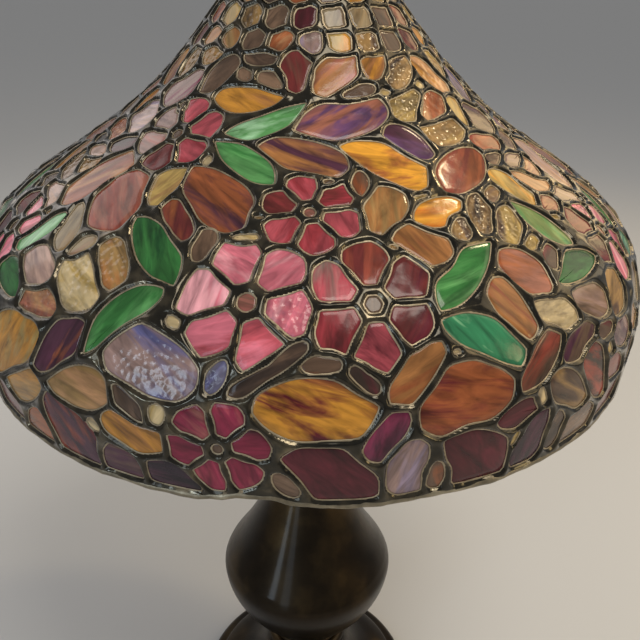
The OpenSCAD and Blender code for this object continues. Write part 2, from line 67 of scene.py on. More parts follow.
class Wall:
    """The shade's wall: radius, height and slope at a distance down from its top hole, in millimetres."""

    def __init__(self):
        low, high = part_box("solder_shell")
        keys = np.array(WALL_SLOPES, float)
        self.d = np.arange(0.0, WALL_END + 0.25, 0.25)
        middle = np.radians(np.interp(self.d[:-1] + 0.125, keys[:, 0], keys[:, 1]))
        run = np.concatenate([[0.0], np.cumsum(np.cos(middle) * 0.25)])
        drop = np.concatenate([[0.0], np.cumsum(np.sin(middle) * 0.25)])
        self.slope_keys = keys
        widest = (high.x - low.x) / 2 / MM - SHELL_HALF
        top = high.z / MM - SHELL_HALF * math.cos(math.radians(keys[0, 1]))
        self.r = run - run.max() + widest
        self.z = top - drop

    def radius(self, d):
        return np.interp(d, self.d, self.r)

    def height(self, d):
        return np.interp(d, self.d, self.z)

    def slope(self, d):
        return np.radians(np.interp(d, self.slope_keys[:, 0], self.slope_keys[:, 1]))

    def bend(self, d):
        """Curvature of the wall's cross-section, positive where it bulges outwards."""
        return (self.slope(d + 2) - self.slope(d - 2)) / 4

    def point(self, az, d, out):
        """Points in metres at an azimuth in radians, a distance down, and a height over the wall."""
        s = self.slope(d)
        r = self.radius(d) + out * np.sin(s)
        z = self.height(d) + out * np.cos(s)
        return np.stack([r * np.sin(az), -r * np.cos(az), z], -1) * MM

    def distance_down(self, r, z):
        """Distance down the wall of the wall's point nearest to a radius and a height."""
        return float(self.d[np.argmin((self.r - r) ** 2 + (self.z - z) ** 2)])


wall = Wall()


# ---------------------------------------------------------------- smooth seeded noise
def lattice_noise(x, y, z, seed):
    """Smooth noise in -1..1, one value per point, on a unit lattice."""
    cell = np.floor(np.stack([x, y, z])).astype(np.int64)
    f = np.stack([x, y, z]) - cell
    f = f * f * (3 - 2 * f)
    total = 0.0
    for corner in range(8):
        bits = [(corner >> k) & 1 for k in range(3)]
        key = ((cell[0] + bits[0]) * 73856093) ^ ((cell[1] + bits[1]) * 19349663)
        key = key ^ ((cell[2] + bits[2]) * 83492791) ^ (seed * 2654435761)
        key = (key ^ (key >> 13)) * 1274126177
        value = ((key ^ (key >> 16)) & 0xFFFF) / 32767.5 - 1
        weight = 1.0
        for k in range(3):
            weight = weight * (f[k] if bits[k] else 1 - f[k])
        total = total + value * weight
    return total


def noise_at(points, size, seed):
    """Noise on 3D points in metres, with lumps of the given size in millimetres."""
    p = points / (size * MM)
    return lattice_noise(p[..., 0], p[..., 1], p[..., 2], seed)


# ---------------------------------------------------------------- stones read from the CAD
OUTLINE_STEPS = 4
# A corner of an outline is kept crisp where it turns by more than the second angle
SOFT_CORNER, CRISP_CORNER = math.radians(36), math.radians(62)
# How flat a face is: 0 follows the wall, 1 is a plane
FLATNESS = 0.7
# Height of the glass faces over the wall's middle line, and the glass's thickness
FACE_OUT = 3.2
GLASS_T = 3.0


def rounded_outline(corners):
    """Closed curve through the corners: smooth at gentle ones, and nearly straight between crisp ones."""
    before = corners - np.roll(corners, 1, 0)
    after = np.roll(corners, -1, 0) - corners
    cross = before[:, 0] * after[:, 1] - before[:, 1] * after[:, 0]
    turn = np.abs(np.arctan2(cross, (before * after).sum(1)))
    crisp = np.clip((turn - SOFT_CORNER) / (CRISP_CORNER - SOFT_CORNER), 0, 1)[:, None]
    smooth = (before + after) / 2
    leave = smooth + (after - smooth) * crisp
    arrive = np.roll(smooth + (before - smooth) * crisp, -1, 0)
    goal = np.roll(corners, -1, 0)
    rows = []
    for k in range(OUTLINE_STEPS):
        t = k / OUTLINE_STEPS
        rows.append((2 * t ** 3 - 3 * t * t + 1) * corners + (t ** 3 - 2 * t * t + t) * leave
                    + (3 * t * t - 2 * t ** 3) * goal + (t ** 3 - t * t) * arrive)
    line = np.stack(rows, 1).reshape(-1, 2)
    return line * 0.6 + (np.roll(line, 1, 0) + np.roll(line, -1, 0)) * 0.2


def inset(outline, by):
    """The outline moved in along its own normals."""
    along = np.roll(outline, -1, 0) - np.roll(outline, 1, 0)
    along /= np.linalg.norm(along, axis=1, keepdims=True)
    return outline + np.stack([-along[:, 1], along[:, 0]], -1) * by


class Stone:
    """One flat piece of glass: its centre on the wall and its outline in millimetres, right and up."""

    def __init__(self, sheet, corners):
        centre = corners.mean(0)
        self.sheet = sheet
        self.az = math.atan2(centre[0], -centre[1])
        self.d = wall.distance_down(math.hypot(centre[0], centre[1]) / MM, centre[2] / MM)
        slope = float(wall.slope(self.d))
        sin_az, cos_az = math.sin(self.az), math.cos(self.az)
        self.right = np.array([cos_az, sin_az, 0.0])
        self.up = np.array([-math.cos(slope) * sin_az, math.cos(slope) * cos_az, math.sin(slope)])
        self.out = np.cross(self.right, self.up)
        height = (corners - centre) @ self.out
        face = corners[height > 0] - centre
        flat = np.stack([face @ self.right, face @ self.up], -1) / MM
        order = np.argsort(np.arctan2(flat[:, 1], flat[:, 0]))
        self.outline = rounded_outline(flat[order])
        self.size = float(np.abs(self.outline).max())
        self.bend_across = math.sin(slope) / float(wall.radius(self.d))
        self.bend_down = float(wall.bend(self.d))
        rim = self.sag(self.outline[:, 0], self.outline[:, 1])
        self.rim_sag = float(rim.mean())

    def sag(self, x, y):
        """How far the wall falls away from the plane that touches it at the stone's centre."""
        return x * x * self.bend_across / 2 + y * y * self.bend_down / 2

    def face_height(self, x, y):
        """Height of the flat face over the wall; the edge lies about on the wall."""
        return FACE_OUT + FLATNESS * (self.sag(x, y) - self.rim_sag)

    def place(self, x, y, out):
        """Points in metres for local points, at a height over the wall."""
        d = self.d - y
        az = self.az + x / wall.radius(d)
        return wall.point(az, d, out)


def glass_stones():
    """Every separate solid of the CAD's glass nodes, as a Stone."""
    found = []
    for name in sorted(frame["nodes"]):
        if not name.startswith("glass_"):
            continue
        mesh = frame["nodes"][name].data
        co = np.empty(len(mesh.vertices) * 3)
        mesh.vertices.foreach_get("co", co)
        unique, same = np.unique(np.round(co.reshape(-1, 3), 6), axis=0, return_inverse=True)
        same = same.reshape(-1)
        label = np.arange(len(unique))
        edges = np.empty(len(mesh.edges) * 2, np.int64)
        mesh.edges.foreach_get("vertices", edges)
        a, b = same[edges.reshape(-1, 2)].T
        while True:
            lowest = np.minimum(label[a], label[b])
            before = label.copy()
            np.minimum.at(label, a, lowest)
            np.minimum.at(label, b, lowest)
            if np.array_equal(before, label):
                break
        for key in np.unique(label):
            found.append(Stone(name[len("glass_"):], unique[label == key]))
    return found


stones = glass_stones()

# ---------------------------------------------------------------- chart of the wall
# Columns round the wall, millimetres between rows, and how far a stone's influence reaches
COLUMNS = 1800
ROW_STEP = 0.7
REACH = 7.0
# The solder ends this far below the lowest stones
RIM_REACH = 2.2


def signed_distance(x, y, outline):
    """Distance in millimetres from points to a closed outline, negative inside."""
    best = np.full(x.shape, 1e9)
    inside = np.zeros(x.shape, bool)
    for (ax, ay), (bx, by) in zip(outline, np.roll(outline, -1, 0)):
        dx, dy = bx - ax, by - ay
        px, py = x - ax, y - ay
        t = np.clip((px * dx + py * dy) / (dx * dx + dy * dy + 1e-9), 0, 1)
        best = np.minimum(best, (px - t * dx) ** 2 + (py - t * dy) ** 2)
        if abs(dy) > 1e-9:
            crosses = ((ay > y) != (by > y)) & (px < dx * py / dy)
            inside ^= crosses
    return np.where(inside, -1, 1) * np.sqrt(best)


def around(values, reach, pick):
    """A pick, such as the largest, of each value's neighbours in a closed ring of values."""
    shifted = [np.roll(values, k) for k in range(-reach, reach + 1)]
    return pick(np.stack(shifted), axis=0)


# Half the width of the widest notch that is bridged, and of the smoothing of the rim, in columns
NOTCH = 12
RIM_SMOOTH = 4


class Chart:
    """The wall as a grid of columns round it and rows down it."""

    def __init__(self, columns, row_step):
        self.columns = columns
        self.d = np.arange(0.0, WALL_END, row_step)
        self.az = np.arange(columns) * 2 * math.pi / columns - math.pi
        shape = (len(self.d), columns)
        self.distance = np.full(shape, 99.0)
        weight = np.full(shape, 1e-9)
        level = np.full(shape, 1e-9 * FACE_OUT)
        for stone in stones:
            reach = stone.size + REACH
            rows = np.nonzero(np.abs(self.d - stone.d) < reach)[0]
            r_least = float(wall.radius(max(stone.d - reach, 0)))
            half = int(min(reach / r_least / (2 * math.pi) * columns + 1, columns // 2 - 1))
            middle = int(round((stone.az + math.pi) / (2 * math.pi) * columns))
            cols = np.arange(middle - half, middle + half + 1)
            turn = cols * 2 * math.pi / columns - math.pi - stone.az
            x = turn[None, :] * wall.radius(self.d[rows])[:, None]
            y = np.repeat((stone.d - self.d[rows])[:, None], len(cols), 1)
            away = signed_distance(x, y, stone.outline)
            at = np.ix_(rows, cols % columns)
            self.distance[at] = np.minimum(self.distance[at], away)
            share = np.exp(-np.clip(away, 0, REACH) / 0.9) * (away < REACH)
            weight[at] += share
            level[at] += share * stone.face_height(x, y)
        self.level = level / weight
        held = self.distance < RIM_REACH
        lowest = len(self.d) - 1 - np.argmax(held[::-1], 0)
        # Solder bridges the narrow notches between the lowest stones
        bridged = around(around(lowest, NOTCH, np.max), NOTCH, np.min)
        smooth = around(bridged, RIM_SMOOTH, np.mean)
        self.rim_row = np.round(smooth).astype(int)
        self.rim_d = np.interp(smooth, np.arange(len(self.d)), self.d)

    def half(self):
        """The same chart with every second row and column."""
        coarse = object.__new__(Chart)
        coarse.columns = self.columns // 2
        coarse.d = self.d[::2]
        coarse.distance = self.distance[::2, ::2]
        coarse.level = self.level[::2, ::2]
        coarse.rim_row = self.rim_row[::2] // 2
        return coarse


# ---------------------------------------------------------------- mesh helpers
def add_mesh(name, points, faces, material):
    """A new smooth-shaded piece from arrays of points and faces."""
    mesh = bpy.data.meshes.new(name)
    mesh.from_pydata(points.tolist(), [], faces.tolist() if hasattr(faces, "tolist") else faces)
    mesh.shade_smooth()
    mesh.materials.append(material)
    piece = bpy.data.objects.new(name, mesh)
    bpy.context.scene.collection.objects.link(piece)
    return piece


def keep_used(points, faces):
    """Drops the points that no face uses."""
    used = np.unique(faces)
    renumber = np.zeros(len(points), np.int64)
    renumber[used] = np.arange(len(used))
    return points[used], renumber[faces]


def ring_faces(count, first, second):
    """Quads between two closed rings of points that start at the given indices."""
    ring = np.arange(count)
    after = np.roll(ring, -1)
    return np.stack([first + ring, first + after, second + after, second + ring], -1)


# ---------------------------------------------------------------- node helpers
def new_material(name):
    """A material with its nodes, links and shader."""
    material = bpy.data.materials.new(name)
    material.use_nodes = True
    nodes = material.node_tree.nodes
    links = material.node_tree.links
    return material, nodes, links, nodes["Principled BSDF"]


def node(nodes, kind, links=None, inputs=None, **settings):
    """A new shader node; inputs gives values, or sockets to link."""
    made = nodes.new(kind)
    for key, value in settings.items():
        setattr(made, key, value)
    for key, value in (inputs or {}).items():
        if isinstance(value, bpy.types.NodeSocket):
            links.new(value, made.inputs[key])
        else:
            made.inputs[key].default_value = value
    return made


def object_noise(nodes, links, scale, detail=3.0, roughness=0.5):
    """Noise on object coordinates, in lumps per metre."""
    where = node(nodes, "ShaderNodeTexCoord")
    made = node(nodes, "ShaderNodeTexNoise", links,
                {"Vector": where.outputs["Object"], "Scale": scale, "Detail": detail, "Roughness": roughness})
    return made.outputs["Fac"]


def ramp(nodes, links, value, stops):
    """Colour ramp through (position, colour) stops."""
    made = node(nodes, "ShaderNodeValToRGB", links, {"Fac": value})
    made.color_ramp.elements[0].position = stops[0][0]
    made.color_ramp.elements[0].color = (*stops[0][1], 1)
    made.color_ramp.elements[1].position = stops[-1][0]
    made.color_ramp.elements[1].color = (*stops[-1][1], 1)
    for position, colour in stops[1:-1]:
        made.color_ramp.elements.new(position).color = (*colour, 1)
    return made.outputs["Color"]


def spread(nodes, links, value, low, high, start=0.0, end=1.0):
    """Maps a value between start and end to low..high."""
    made = node(nodes, "ShaderNodeMapRange", links,
                {"Value": value, "From Min": start, "From Max": end, "To Min": low, "To Max": high})
    return made.outputs["Result"]


def bump(nodes, links, shader, height, strength, distance):
    """Joins a bump of a height, in metres of distance, to a shader's normal."""
    made = node(nodes, "ShaderNodeBump", links,
                {"Height": height, "Strength": strength, "Distance": distance})
    links.new(made.outputs["Normal"], shader.inputs["Normal"])


def metal_material(name, stops, rough, grain, bump_strength, metallic=1.0, coat=0.0):
    """Patinated metal: colour and roughness vary with two sizes of noise."""
    material, nodes, links, shader = new_material(name)
    wide = object_noise(nodes, links, grain, 4)
    fine = object_noise(nodes, links, grain * 9, 3)
    links.new(ramp(nodes, links, wide, stops), shader.inputs["Base Color"])
    links.new(spread(nodes, links, fine, *rough), shader.inputs["Roughness"])
    shader.inputs["Metallic"].default_value = metallic
    shader.inputs["Coat Weight"].default_value = coat
    shader.inputs["Coat Roughness"].default_value = 0.12
    bump(nodes, links, shader, fine, bump_strength, 0.0004)
    return material


solder_metal = metal_material("solder_patina", [(0.30, (0.012, 0.0105, 0.0065)),
                                                (0.52, (0.036, 0.030, 0.018)),
                                                (0.78, (0.16, 0.128, 0.076))],
                              (0.10, 0.26), 90, 0.12, 0.9, 0.5)
foil_metal = metal_material("foil_edge", [(0.3, (0.20, 0.155, 0.10)), (0.55, (0.36, 0.29, 0.19)),
                                          (0.8, (0.52, 0.44, 0.31))], (0.32, 0.5), 160, 0.2, 0.55)
rim_metal = metal_material("rim_solder", [(0.3, (0.13, 0.11, 0.075)), (0.55, (0.26, 0.22, 0.15)),
                                          (0.8, (0.46, 0.41, 0.30))], (0.28, 0.5), 120, 0.3, 0.7)
bronze = metal_material("dark_bronze", [(0.28, (0.010, 0.007, 0.0045)), (0.5, (0.022, 0.015, 0.008)),
                                        (0.78, (0.075, 0.048, 0.020))], (0.30, 0.44), 26, 0.04, 1.0, 0.15)
old_brass = metal_material("old_brass", [(0.3, (0.16, 0.10, 0.04)), (0.55, (0.36, 0.25, 0.10)),
                                         (0.8, (0.50, 0.37, 0.17))], (0.25, 0.45), 60, 0.08)
zinc_steel = metal_material("zinc_steel", [(0.3, (0.22, 0.21, 0.19)), (0.7, (0.45, 0.44, 0.41))],
                            (0.30, 0.5), 80, 0.08)
raw_iron = metal_material("raw_iron", [(0.3, (0.03, 0.028, 0.026)), (0.7, (0.09, 0.08, 0.07))],
                          (0.55, 0.8), 120, 0.5)

# ---------------------------------------------------------------- colours of the glass
# Display colours, 0 to 255
GLASS_COLOURS = {
    "marigold": (222, 156, 52), "honey": (200, 138, 52), "straw": (182, 152, 88), "flame": (206, 110, 40),
    "tawny": (164, 110, 62), "ochre": (158, 124, 76), "peach": (196, 146, 102), "rust": (158, 88, 50),
    "brick": (142, 66, 50), "clay": (158, 98, 78), "rosewood": (164, 98, 88), "berry": (132, 48, 78),
    "garnet": (112, 44, 42), "maroon": (92, 30, 40), "oxblood": (66, 18, 24), "wine": (104, 32, 40),
    "aubergine": (78, 42, 58), "violet": (96, 62, 98), "slate": (98, 96, 138), "lilac": (158, 138, 156),
    "ash_rose": (152, 124, 116), "blush": (188, 154, 138), "shell": (238, 168, 176),
    "pink": (220, 118, 134), "crimson": (182, 80, 90), "cherry": (156, 54, 62), "magenta": (138, 38, 64),
    "leaf": (52, 112, 54), "fern": (92, 152, 88), "mint": (158, 204, 158), "bottle": (26, 76, 36),
    "sea": (52, 124, 84), "moss": (112, 132, 74), "parchment": (206, 182, 136), "oatmeal": (152, 134, 104),
    "smoke": (112, 106, 106), "taupe": (132, 104, 82), "umber": (98, 76, 60), "bark": (62, 48, 40),
    "ink": (44, 30, 40)}
# Looks of the stones that face the viewer, by sheet: azimuth, distance down the pattern, ground colour,
# streak colour, how much of the stone is streaked, and how hammered its face is. The stones further round
# take one of their sheet's looks by chance.
# Several looks near the rim, from about 190 mm down the pattern, are dark partly from their own glass and
# partly as painted shade on the downward-facing skirt.
LOOKS = {
    "amber": [(-21.5, 22, "honey", "tawny", 0.5, 0), (25.5, 3, "tawny", "honey", 0.4, 0),
              (52, 11, "peach", "honey", 0.5, 0.3), (53.5, 37, "straw", "honey", 0.4, 0),
              (18.5, 61, "marigold", "rust", 0.28, 0), (-31, 81, "straw", "ochre", 0.4, 0),
              (46.5, 88, "straw", "marigold", 0.4, 0), (24.5, 92, "marigold", "flame", 0.5, 0),
              (-45, 178, "honey", "straw", 0.4, 0), (1, 178, "honey", "wine", 0.42, 0),
              (-22, 198, "honey", "tawny", 0.5, 0)],
    "russet": [(8.5, 7, "tawny", "rosewood", 0.5, 0), (42.5, 29, "rust", "peach", 0.35, 0.3),
               (54, 57, "rust", "brick", 0.5, 0), (36.5, 70, "rust", "brick", 0.5, 0),
               (-39, 95, "brick", "clay", 0.45, 0), (-24, 98, "rust", "garnet", 0.45, 0),
               (19.5, 111, "tawny", "brick", 0.3, 0), (28.7, 148, "tawny", "brick", 0.5, 0),
               (13.3, 165, "tawny", "rust", 0.4, 0), (31.3, 171, "umber", "brick", 0.5, 0),
               (43.3, 189, "bark", "brick", 0.4, 0), (-40, 218, "rust", "umber", 0.5, 0)],
    "dusk": [(9.5, 33, "clay", "violet", 0.34, 0), (-1, 54, "tawny", "aubergine", 0.45, 0),
             (-18.3, 82, "rust", "aubergine", 0.48, 0), (20.3, 178, "rust", "garnet", 0.6, 0),
             (21.3, 210, "oxblood", "maroon", 0.5, 0), (2.7, 211, "maroon", "oxblood", 0.5, 0),
             (-33, 212, "brick", "aubergine", 0.4, 0)],
    "mauve": [(-50, 22, "ash_rose", "berry", 0.25, 0), (-60.5, 44, "blush", "lilac", 0.5, 0),
              (-45, 141, "blush", "ash_rose", 0.4, 0), (39.3, 170, "umber", "aubergine", 0.4, 0),
              (12.3, 209, "ash_rose", "lilac", 0.4, 0), (-20.5, 165, "ash_rose", "slate", 0.5, 0.2),
              (-45, 56, "ash_rose", "rosewood", 0.4, 0)],
    "plum": [(26.5, 47.5, "aubergine", "violet", 0.4, 0), (-34.3, 168, "aubergine", "rust", 0.3, 0),
             (9.3, 191, "berry", "aubergine", 0.5, 0), (30.5, 211, "aubergine", "ink", 0.5, 0),
             (-25, 219, "aubergine", "umber", 0.4, 0), (-17, 219, "aubergine", "ink", 0.5, 0),
             (-45, 40, "ash_rose", "aubergine", 0.5, 0)],
    "tan": [(40.5, 46.5, "ochre", "straw", 0.5, 0.4), (14.5, 86, "tawny", "ochre", 0.5, 0),
            (39.5, 88, "taupe", "ochre", 0.5, 0.3), (56, 92, "peach", "tawny", 0.4, 0),
            (-30.5, 127, "ochre", "tawny", 0.4, 0.7), (-38.3, 123, "oatmeal", "taupe", 0.4, 0),
            (-44.7, 116, "oatmeal", "ochre", 0.4, 0), (-51.3, 88, "clay", "peach", 0.4, 0),
            (-58.5, 109, "blush", "peach", 0.4, 0), (44.5, 157, "taupe", "ash_rose", 0.4, 0),
            (52.5, 159, "ochre", "umber", 0.4, 0), (-30.3, 184, "ochre", "peach", 0.4, 0),
            (37, 191, "umber", "ochre", 0.4, 0), (-42.5, 199, "ochre", "honey", 0.4, 0)],
    "coral": [(34, 133, "clay", "rust", 0.6, 0), (-40.5, 156, "clay", "peach", 0.5, 0.9)],
    "cream": [(26.5, 17, "straw", "parchment", 0.5, 0.6), (-24.5, 61, "oatmeal", "parchment", 0.5, 0.5),
              (-10.3, 103.5, "parchment", "straw", 0.5, 0.4), (39, 119.5, "straw", "parchment", 0.5, 0.8),
              (-17.5, 147.5, "parchment", "oatmeal", 0.5, 0.3), (36.5, 154, "parchment", "oatmeal", 0.4, 0.4),
              (-18.6, 185.5, "parchment", "straw", 0.4, 0.3), (31.2, 187.5, "parchment", "smoke", 0.4, 0)],
    "gold": [(35, 8, "ochre", "bark", 0.4, 1), (31.5, 27, "straw", "umber", 0.4, 1),
             (32.8, 97, "ochre", "bark", 0.5, 1), (37.3, 107, "straw", "umber", 0.4, 1),
             (27, 103.5, "ochre", "umber", 0.4, 0.8), (-34.5, 142, "parchment", "straw", 0.4, 1),
             (-11, 164.5, "smoke", "slate", 0.4, 0.9)],
    "green": [(-13.5, 33, "fern", "mint", 0.55, 0), (-15.3, 61, "fern", "leaf", 0.45, 0),
              (45.5, 113, "moss", "fern", 0.4, 0), (-25.1, 116.5, "leaf", "bottle", 0.3, 0),
              (-52, 126, "fern", "mint", 0.5, 0), (23.4, 129, "leaf", "fern", 0.5, 0),
              (45, 141, "leaf", "bottle", 0.5, 0), (-24.5, 150, "leaf", "fern", 0.3, 0),
              (23.3, 158, "sea", "mint", 0.3, 0)],
    "magenta": [(-9.6, 185, "magenta", "crimson", 0.3, 0), (-13.5, 188, "magenta", "rosewood", 0.3, 0),
                (-6.9, 195, "magenta", "maroon", 0.4, 0), (-14.7, 201, "magenta", "maroon", 0.4, 0)],
    "rose": [(-10.6, 118, "pink", "shell", 0.4, 0), (-4.3, 121, "pink", "shell", 0.4, 0),
             (-14.4, 132.5, "shell", "pink", 0.3, 0), (-2.3, 138.5, "pink", "shell", 0.5, 0.9),
             (-12.1, 150.4, "pink", "crimson", 0.3, 0), (-6.2, 153.4, "pink", "crimson", 0.5, 0.25)],
    "ruby": [(-5, 4, "garnet", "umber", 0.4, 0), (-5.8, 83, "garnet", "cherry", 0.3, 0),
             (8.6, 117, "garnet", "brick", 0.4, 0), (13.9, 127, "garnet", "maroon", 0.4, 0),
             (13.7, 145, "maroon", "garnet", 0.5, 0), (27.8, 192, "oxblood", "maroon", 0.4, 0)],
    "scarlet": [(-31, 40, "crimson", "cherry", 0.4, 0), (-31, 56, "crimson", "cherry", 0.4, 0),
                (-1.1, 73.5, "crimson", "cherry", 0.4, 0), (4.8, 78.5, "cherry", "garnet", 0.5, 0),
                (5.6, 93, "crimson", "garnet", 0.3, 0), (-4.5, 97.5, "crimson", "cherry", 0.5, 0),
                (1, 102.5, "cherry", "crimson", 0.4, 0), (3.3, 127, "crimson", "ash_rose", 0.3, 0),
                (3.5, 145, "cherry", "garnet", 0.4, 0), (8.6, 155, "crimson", "maroon", 0.45, 0)],
    "brown": [(-36.5, 10, "umber", "taupe", 0.4, 0), (-25.5, 8, "taupe", "umber", 0.5, 0),
              (-14, 10.5, "umber", "taupe", 0.5, 0), (16.5, 16, "umber", "rust", 0.3, 0),
              (-17, 109.5, "umber", "taupe", 0.4, 0), (-8.3, 135.5, "rosewood", "umber", 0.5, 0),
              (8.6, 136, "umber", "garnet", 0.4, 0), (1.8, 160, "umber", "rust", 0.4, 0),
              (-4.7, 162, "bark", "umber", 0.4, 0), (6.7, 166, "bark", "maroon", 0.4, 0),
              (-22.5, 184.5, "bark", "umber", 0.5, 0)]}


def linear(colour):
    """Linear light of a display colour."""
    return [((v / 255 + 0.055) / 1.055) ** 2.4 for v in colour]


# A stone takes the look listed within this distance of it, in millimetres
MATCH_REACH = 7.0


def look_of(stone):
    """Ground, streak, share and hammering of a stone, from the nearest listed look or by chance."""
    rows = LOOKS[stone.sheet]
    away = [math.hypot((math.radians(row[0]) - stone.az) * float(wall.radius(stone.d)),
                       row[1] + PATTERN_START - stone.d) for row in rows]
    best = int(np.argmin(away))
    chance = int(rng.integers(len(rows)))
    row = rows[best] if away[best] < MATCH_REACH else rows[chance]
    return row[2:]


def glass_material(sheet):
    """Opalescent glass: streaks along each stone's own grain, between the stone's own two colours."""
    material, nodes, links, shader = new_material("glass_" + sheet)
    ground = node(nodes, "ShaderNodeAttribute", attribute_name="ground")
    streak = node(nodes, "ShaderNodeAttribute", attribute_name="streak")
    grain = node(nodes, "ShaderNodeAttribute", attribute_name="grain").outputs["Vector"]
    wisps = node(nodes, "ShaderNodeTexNoise", links,
                 {"Vector": grain, "Scale": 1.0, "Detail": 4.0, "Roughness": 0.55, "Distortion": 1.1})
    # The streaked share of a stone sets where the noise turns from ground to streak
    start = spread(nodes, links, ground.outputs["Alpha"], 0.60, 0.28)
    end = spread(nodes, links, ground.outputs["Alpha"], 0.74, 0.48)
    amount = node(nodes, "ShaderNodeMapRange", links,
                  {"Value": wisps.outputs["Fac"], "From Min": start, "From Max": end})
    mixed = node(nodes, "ShaderNodeMix", links, data_type="RGBA")
    links.new(amount.outputs["Result"], mixed.inputs["Factor"])
    links.new(ground.outputs["Color"], mixed.inputs[6])
    links.new(streak.outputs["Color"], mixed.inputs[7])
    # Light and dark streaks on the same grain, over soft clouds
    bands = node(nodes, "ShaderNodeTexNoise", links,
                 {"Vector": grain, "Scale": 1.7, "Detail": 3.0, "Roughness": 0.6, "Distortion": 0.8})
    streaky = spread(nodes, links, bands.outputs["Fac"], 0.35, 1.45, 0.25, 0.75)
    cloudy = spread(nodes, links, object_noise(nodes, links, 70, 4), 0.80, 1.20)
    shade = node(nodes, "ShaderNodeMath", links, {0: streaky, 1: cloudy}, operation="MULTIPLY").outputs[0]
    final = node(nodes, "ShaderNodeMix", links, data_type="RGBA", blend_type="MULTIPLY")
    final.inputs["Factor"].default_value = 1.0
    links.new(mixed.outputs[2], final.inputs[6])
    links.new(shade, final.inputs[7])
    links.new(final.outputs[2], shader.inputs["Base Color"])
    # Hammered glass has small round dimples, plain glass a faint ripple
    ripple = spread(nodes, links, object_noise(nodes, links, 120, 2), 0.0, 0.12)
    where = node(nodes, "ShaderNodeTexCoord").outputs["Object"]
    dimples = node(nodes, "ShaderNodeTexVoronoi", links, {"Vector": where, "Scale": 330, "Randomness": 1.0},
                   feature="SMOOTH_F1")
    dimples.inputs["Smoothness"].default_value = 0.6
    hammered = node(nodes, "ShaderNodeMath", links, {0: dimples.outputs["Distance"],
                                                     1: streak.outputs["Alpha"]}, operation="MULTIPLY")
    height = node(nodes, "ShaderNodeMath", links, {0: hammered.outputs[0], 1: ripple}, operation="ADD")
    bump(nodes, links, shader, height.outputs[0], 0.9, 0.0011)
    shader.inputs["Roughness"].default_value = 0.14
    shader.inputs["IOR"].default_value = 1.42
    return material


# ---------------------------------------------------------------- glass stones
# Edge of a stone: how far in, and how far down
EDGE = ((0.0, -0.55), (0.3, -0.18), (0.9, 0.0))
SHRINKS = (0.80, 0.58, 0.34)
HAMMER_DEPTH = 0.35


def stone_arrays(stone, hammer, turn, offset):
    """Points, quads, triangles and grain of one stone: rounded edge, rippled face and plain back."""
    count = len(stone.outline)
    flat = inset(stone.outline, EDGE[-1][0])
    loops = [inset(stone.outline, by) for by, _ in EDGE] + [flat * shrink for shrink in SHRINKS]
    top = np.concatenate([*loops, np.zeros((1, 2))])
    lift = np.concatenate([np.repeat([down for _, down in EDGE], count),
                           np.zeros(count * len(SHRINKS) + 1)])
    face = stone.face_height(top[:, 0], top[:, 1])
    base = stone.place(top[:, 0], top[:, 1], face)
    ripple = 0.14 * noise_at(base, 11, 5) + 0.05 * noise_at(base, 4, 6)
    ripple += hammer * HAMMER_DEPTH * noise_at(base, 3.4, 7)
    inner = np.arange(len(top)) >= count * (len(EDGE) - 1)
    upper = stone.place(top[:, 0], top[:, 1], face + lift + ripple * inner)
    back = np.concatenate([stone.outline, flat, np.zeros((1, 2))])
    under = stone.face_height(back[:, 0], back[:, 1]) - GLASS_T
    under[:count] += 0.4
    lower = stone.place(back[:, 0], back[:, 1], under)
    rings = len(loops)
    quads = [ring_faces(count, k * count, (k + 1) * count) for k in range(rings - 1)]
    ring = np.arange(count)
    after = np.roll(ring, -1)
    hub = rings * count
    start = hub + 1
    fans = [np.stack([hub - count + ring, hub - count + after, np.full(count, hub)], -1),
            np.stack([start + count + after, start + count + ring, np.full(count, start + 2 * count)], -1)]
    quads.append(np.stack([start + ring, start + after, after, ring], -1))
    quads.append(np.stack([start + count + ring, start + count + after, start + after, start + ring], -1))
    local = np.concatenate([top, back])
    along = local[:, 0] * math.cos(turn) + local[:, 1] * math.sin(turn)
    across = local[:, 1] * math.cos(turn) - local[:, 0] * math.sin(turn)
    grain = np.stack([along * 0.022, across * 0.09, np.full(len(local), offset)], -1)
    return np.concatenate([upper, lower]), np.concatenate(quads), np.concatenate(fans), grain


def long_axis(outline):
    """Turn of an outline's long axis, in radians."""
    spread_out = np.cov(outline.T)
    values, vectors = np.linalg.eigh(spread_out)
    return math.atan2(vectors[1, 1], vectors[0, 1])


def build_sheet(sheet, material):
    """All stones of one sheet as one piece."""
    points, faces, grains, grounds, streaks = [], [], [], [], []
    base = 0
    for stone in stones:
        if stone.sheet != sheet:
            continue
        ground, streak, share, hammer = look_of(stone)
        bright = rng.uniform(0.88, 1.12)
        turn = long_axis(stone.outline) + rng.uniform(-0.5, 0.5)
        co, quads, fans, grain = stone_arrays(stone, hammer, turn, rng.uniform(0, 60))
        points.append(co)
        faces += [*(quads + base).tolist(), *(fans + base).tolist()]
        grains.append(grain)
        grounds.append(np.tile([*(v * bright for v in linear(GLASS_COLOURS[ground])), share], (len(co), 1)))
        streaks.append(np.tile([*(v * bright for v in linear(GLASS_COLOURS[streak])), hammer], (len(co), 1)))
        base += len(co)
    piece = add_mesh("stones_" + sheet, np.concatenate(points), faces, material)
    made = piece.data.attributes
    made.new("grain", "FLOAT_VECTOR", "POINT").data.foreach_set("vector", np.concatenate(grains).ravel())
    made.new("ground", "FLOAT_COLOR", "POINT").data.foreach_set("color", np.concatenate(grounds).ravel())
    made.new("streak", "FLOAT_COLOR", "POINT").data.foreach_set("color", np.concatenate(streaks).ravel())
    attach(piece, "shade")
    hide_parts("glass_" + sheet)


for sheet in LOOKS:
    build_sheet(sheet, glass_material(sheet))

# ---------------------------------------------------------------- solder, foil edges and rim
# The solder starts this far from the glass, leaving the foil bare, and is highest this far away
BEAD_START = 0.35
BEAD_FULL = 1.7
BEAD_RISE = 1.6


